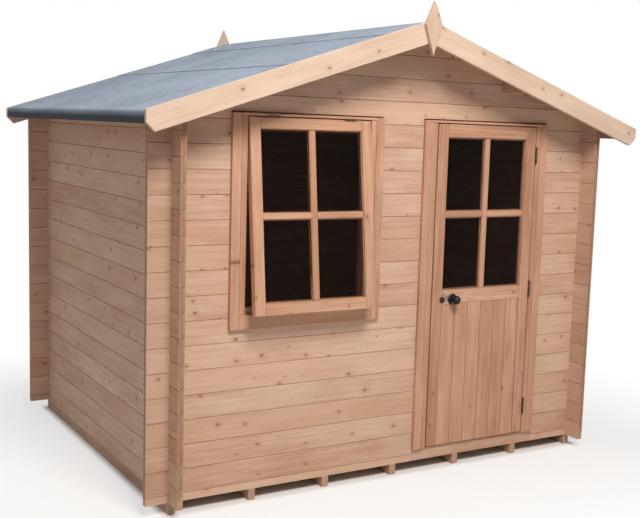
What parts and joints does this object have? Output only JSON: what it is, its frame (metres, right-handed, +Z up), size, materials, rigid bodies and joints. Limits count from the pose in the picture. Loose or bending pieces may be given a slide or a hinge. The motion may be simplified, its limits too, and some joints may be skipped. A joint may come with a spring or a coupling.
{
  "type": "log cabin",
  "caption": "Small timber log cabin with interlocking corners, a felted apex roof, a propped top-hung window and a hinged half-glazed door with a ball knob.",
  "frame": {"origin": "centre of the plan, on the ground under the joists", "axes": "+X along the front wall towards the door, +Y from the front wall to the rear wall, +Z up"},
  "size_m": [2.824, 2.44, 2.3899],
  "materials": {
    "log_timber": "planed, untreated",
    "sawn_timber": "sawn",
    "trim_timber": "planed, untreated",
    "joinery_timber": "planed, untreated",
    "roofing_felt": "mineral surfaced bitumen felt",
    "pane_glass": "clear, dark interior behind",
    "black_iron": "black japanned",
    "browned_brass": "aged",
    "zinc_steel": "zinc plated"
  },
  "bodies": {
    "cabin": {"floor_joists": "sawn_timber", "floor_boards": "sawn_timber", "left_wall": "log_timber", "right_wall": "log_timber", "rear_wall": "log_timber", "rear_gable": "log_timber", "front_wall_left": "log_timber", "front_wall_under_window": "log_timber", "front_wall_middle": "log_timber", "front_wall_right": "log_timber", "window_header_log": "log_timber", "door_header_log": "log_timber", "door_sill_log": "log_timber", "front_gable": "log_timber", "window_frame": "joinery_timber", "sash_stiles": "joinery_timber", "sash_rails": "joinery_timber", "sash_upright_bar": "joinery_timber", "sash_level_bars": "joinery_timber", "window_glass": "pane_glass", "window_stay": "zinc_steel", "window_hinges": "zinc_steel", "door_jambs": "joinery_timber", "door_head": "joinery_timber", "door_stops": "joinery_timber", "ridge_beam": "sawn_timber", "purlins": "sawn_timber", "roof_boards_left": "sawn_timber", "roof_boards_right": "sawn_timber", "eave_fascias": "trim_timber", "roof_felt_left": "roofing_felt", "roof_felt_right": "roofing_felt", "bargeboards_left": "trim_timber", "bargeboards_right": "trim_timber", "finials": "trim_timber", "door_hinge_plates": "zinc_steel"},
    "door": {"door_leaf": "joinery_timber", "door_panel": "joinery_timber", "door_glazing_bars": "joinery_timber", "door_glass": "pane_glass", "door_hinge_flaps": "zinc_steel", "knob_roses": "black_iron", "keyhole_plate": "browned_brass", "lock_edge_plate": "zinc_steel"},
    "knob": {"door_knob": "black_iron"}
  },
  "joints": [
    {"name": "door_hinge", "type": "hinge", "parent": "cabin", "child": "door", "pos_m": [0.8445, -1.0305, 0.97], "axis": [0, 0, 1], "range_deg": [0, 100]},
    {"name": "knob_turn", "type": "hinge", "parent": "door", "child": "knob", "pos_m": [0.325, -1.023, 0.907], "axis": [0, -1, 0], "range_deg": [-45, 45]}
  ]
}
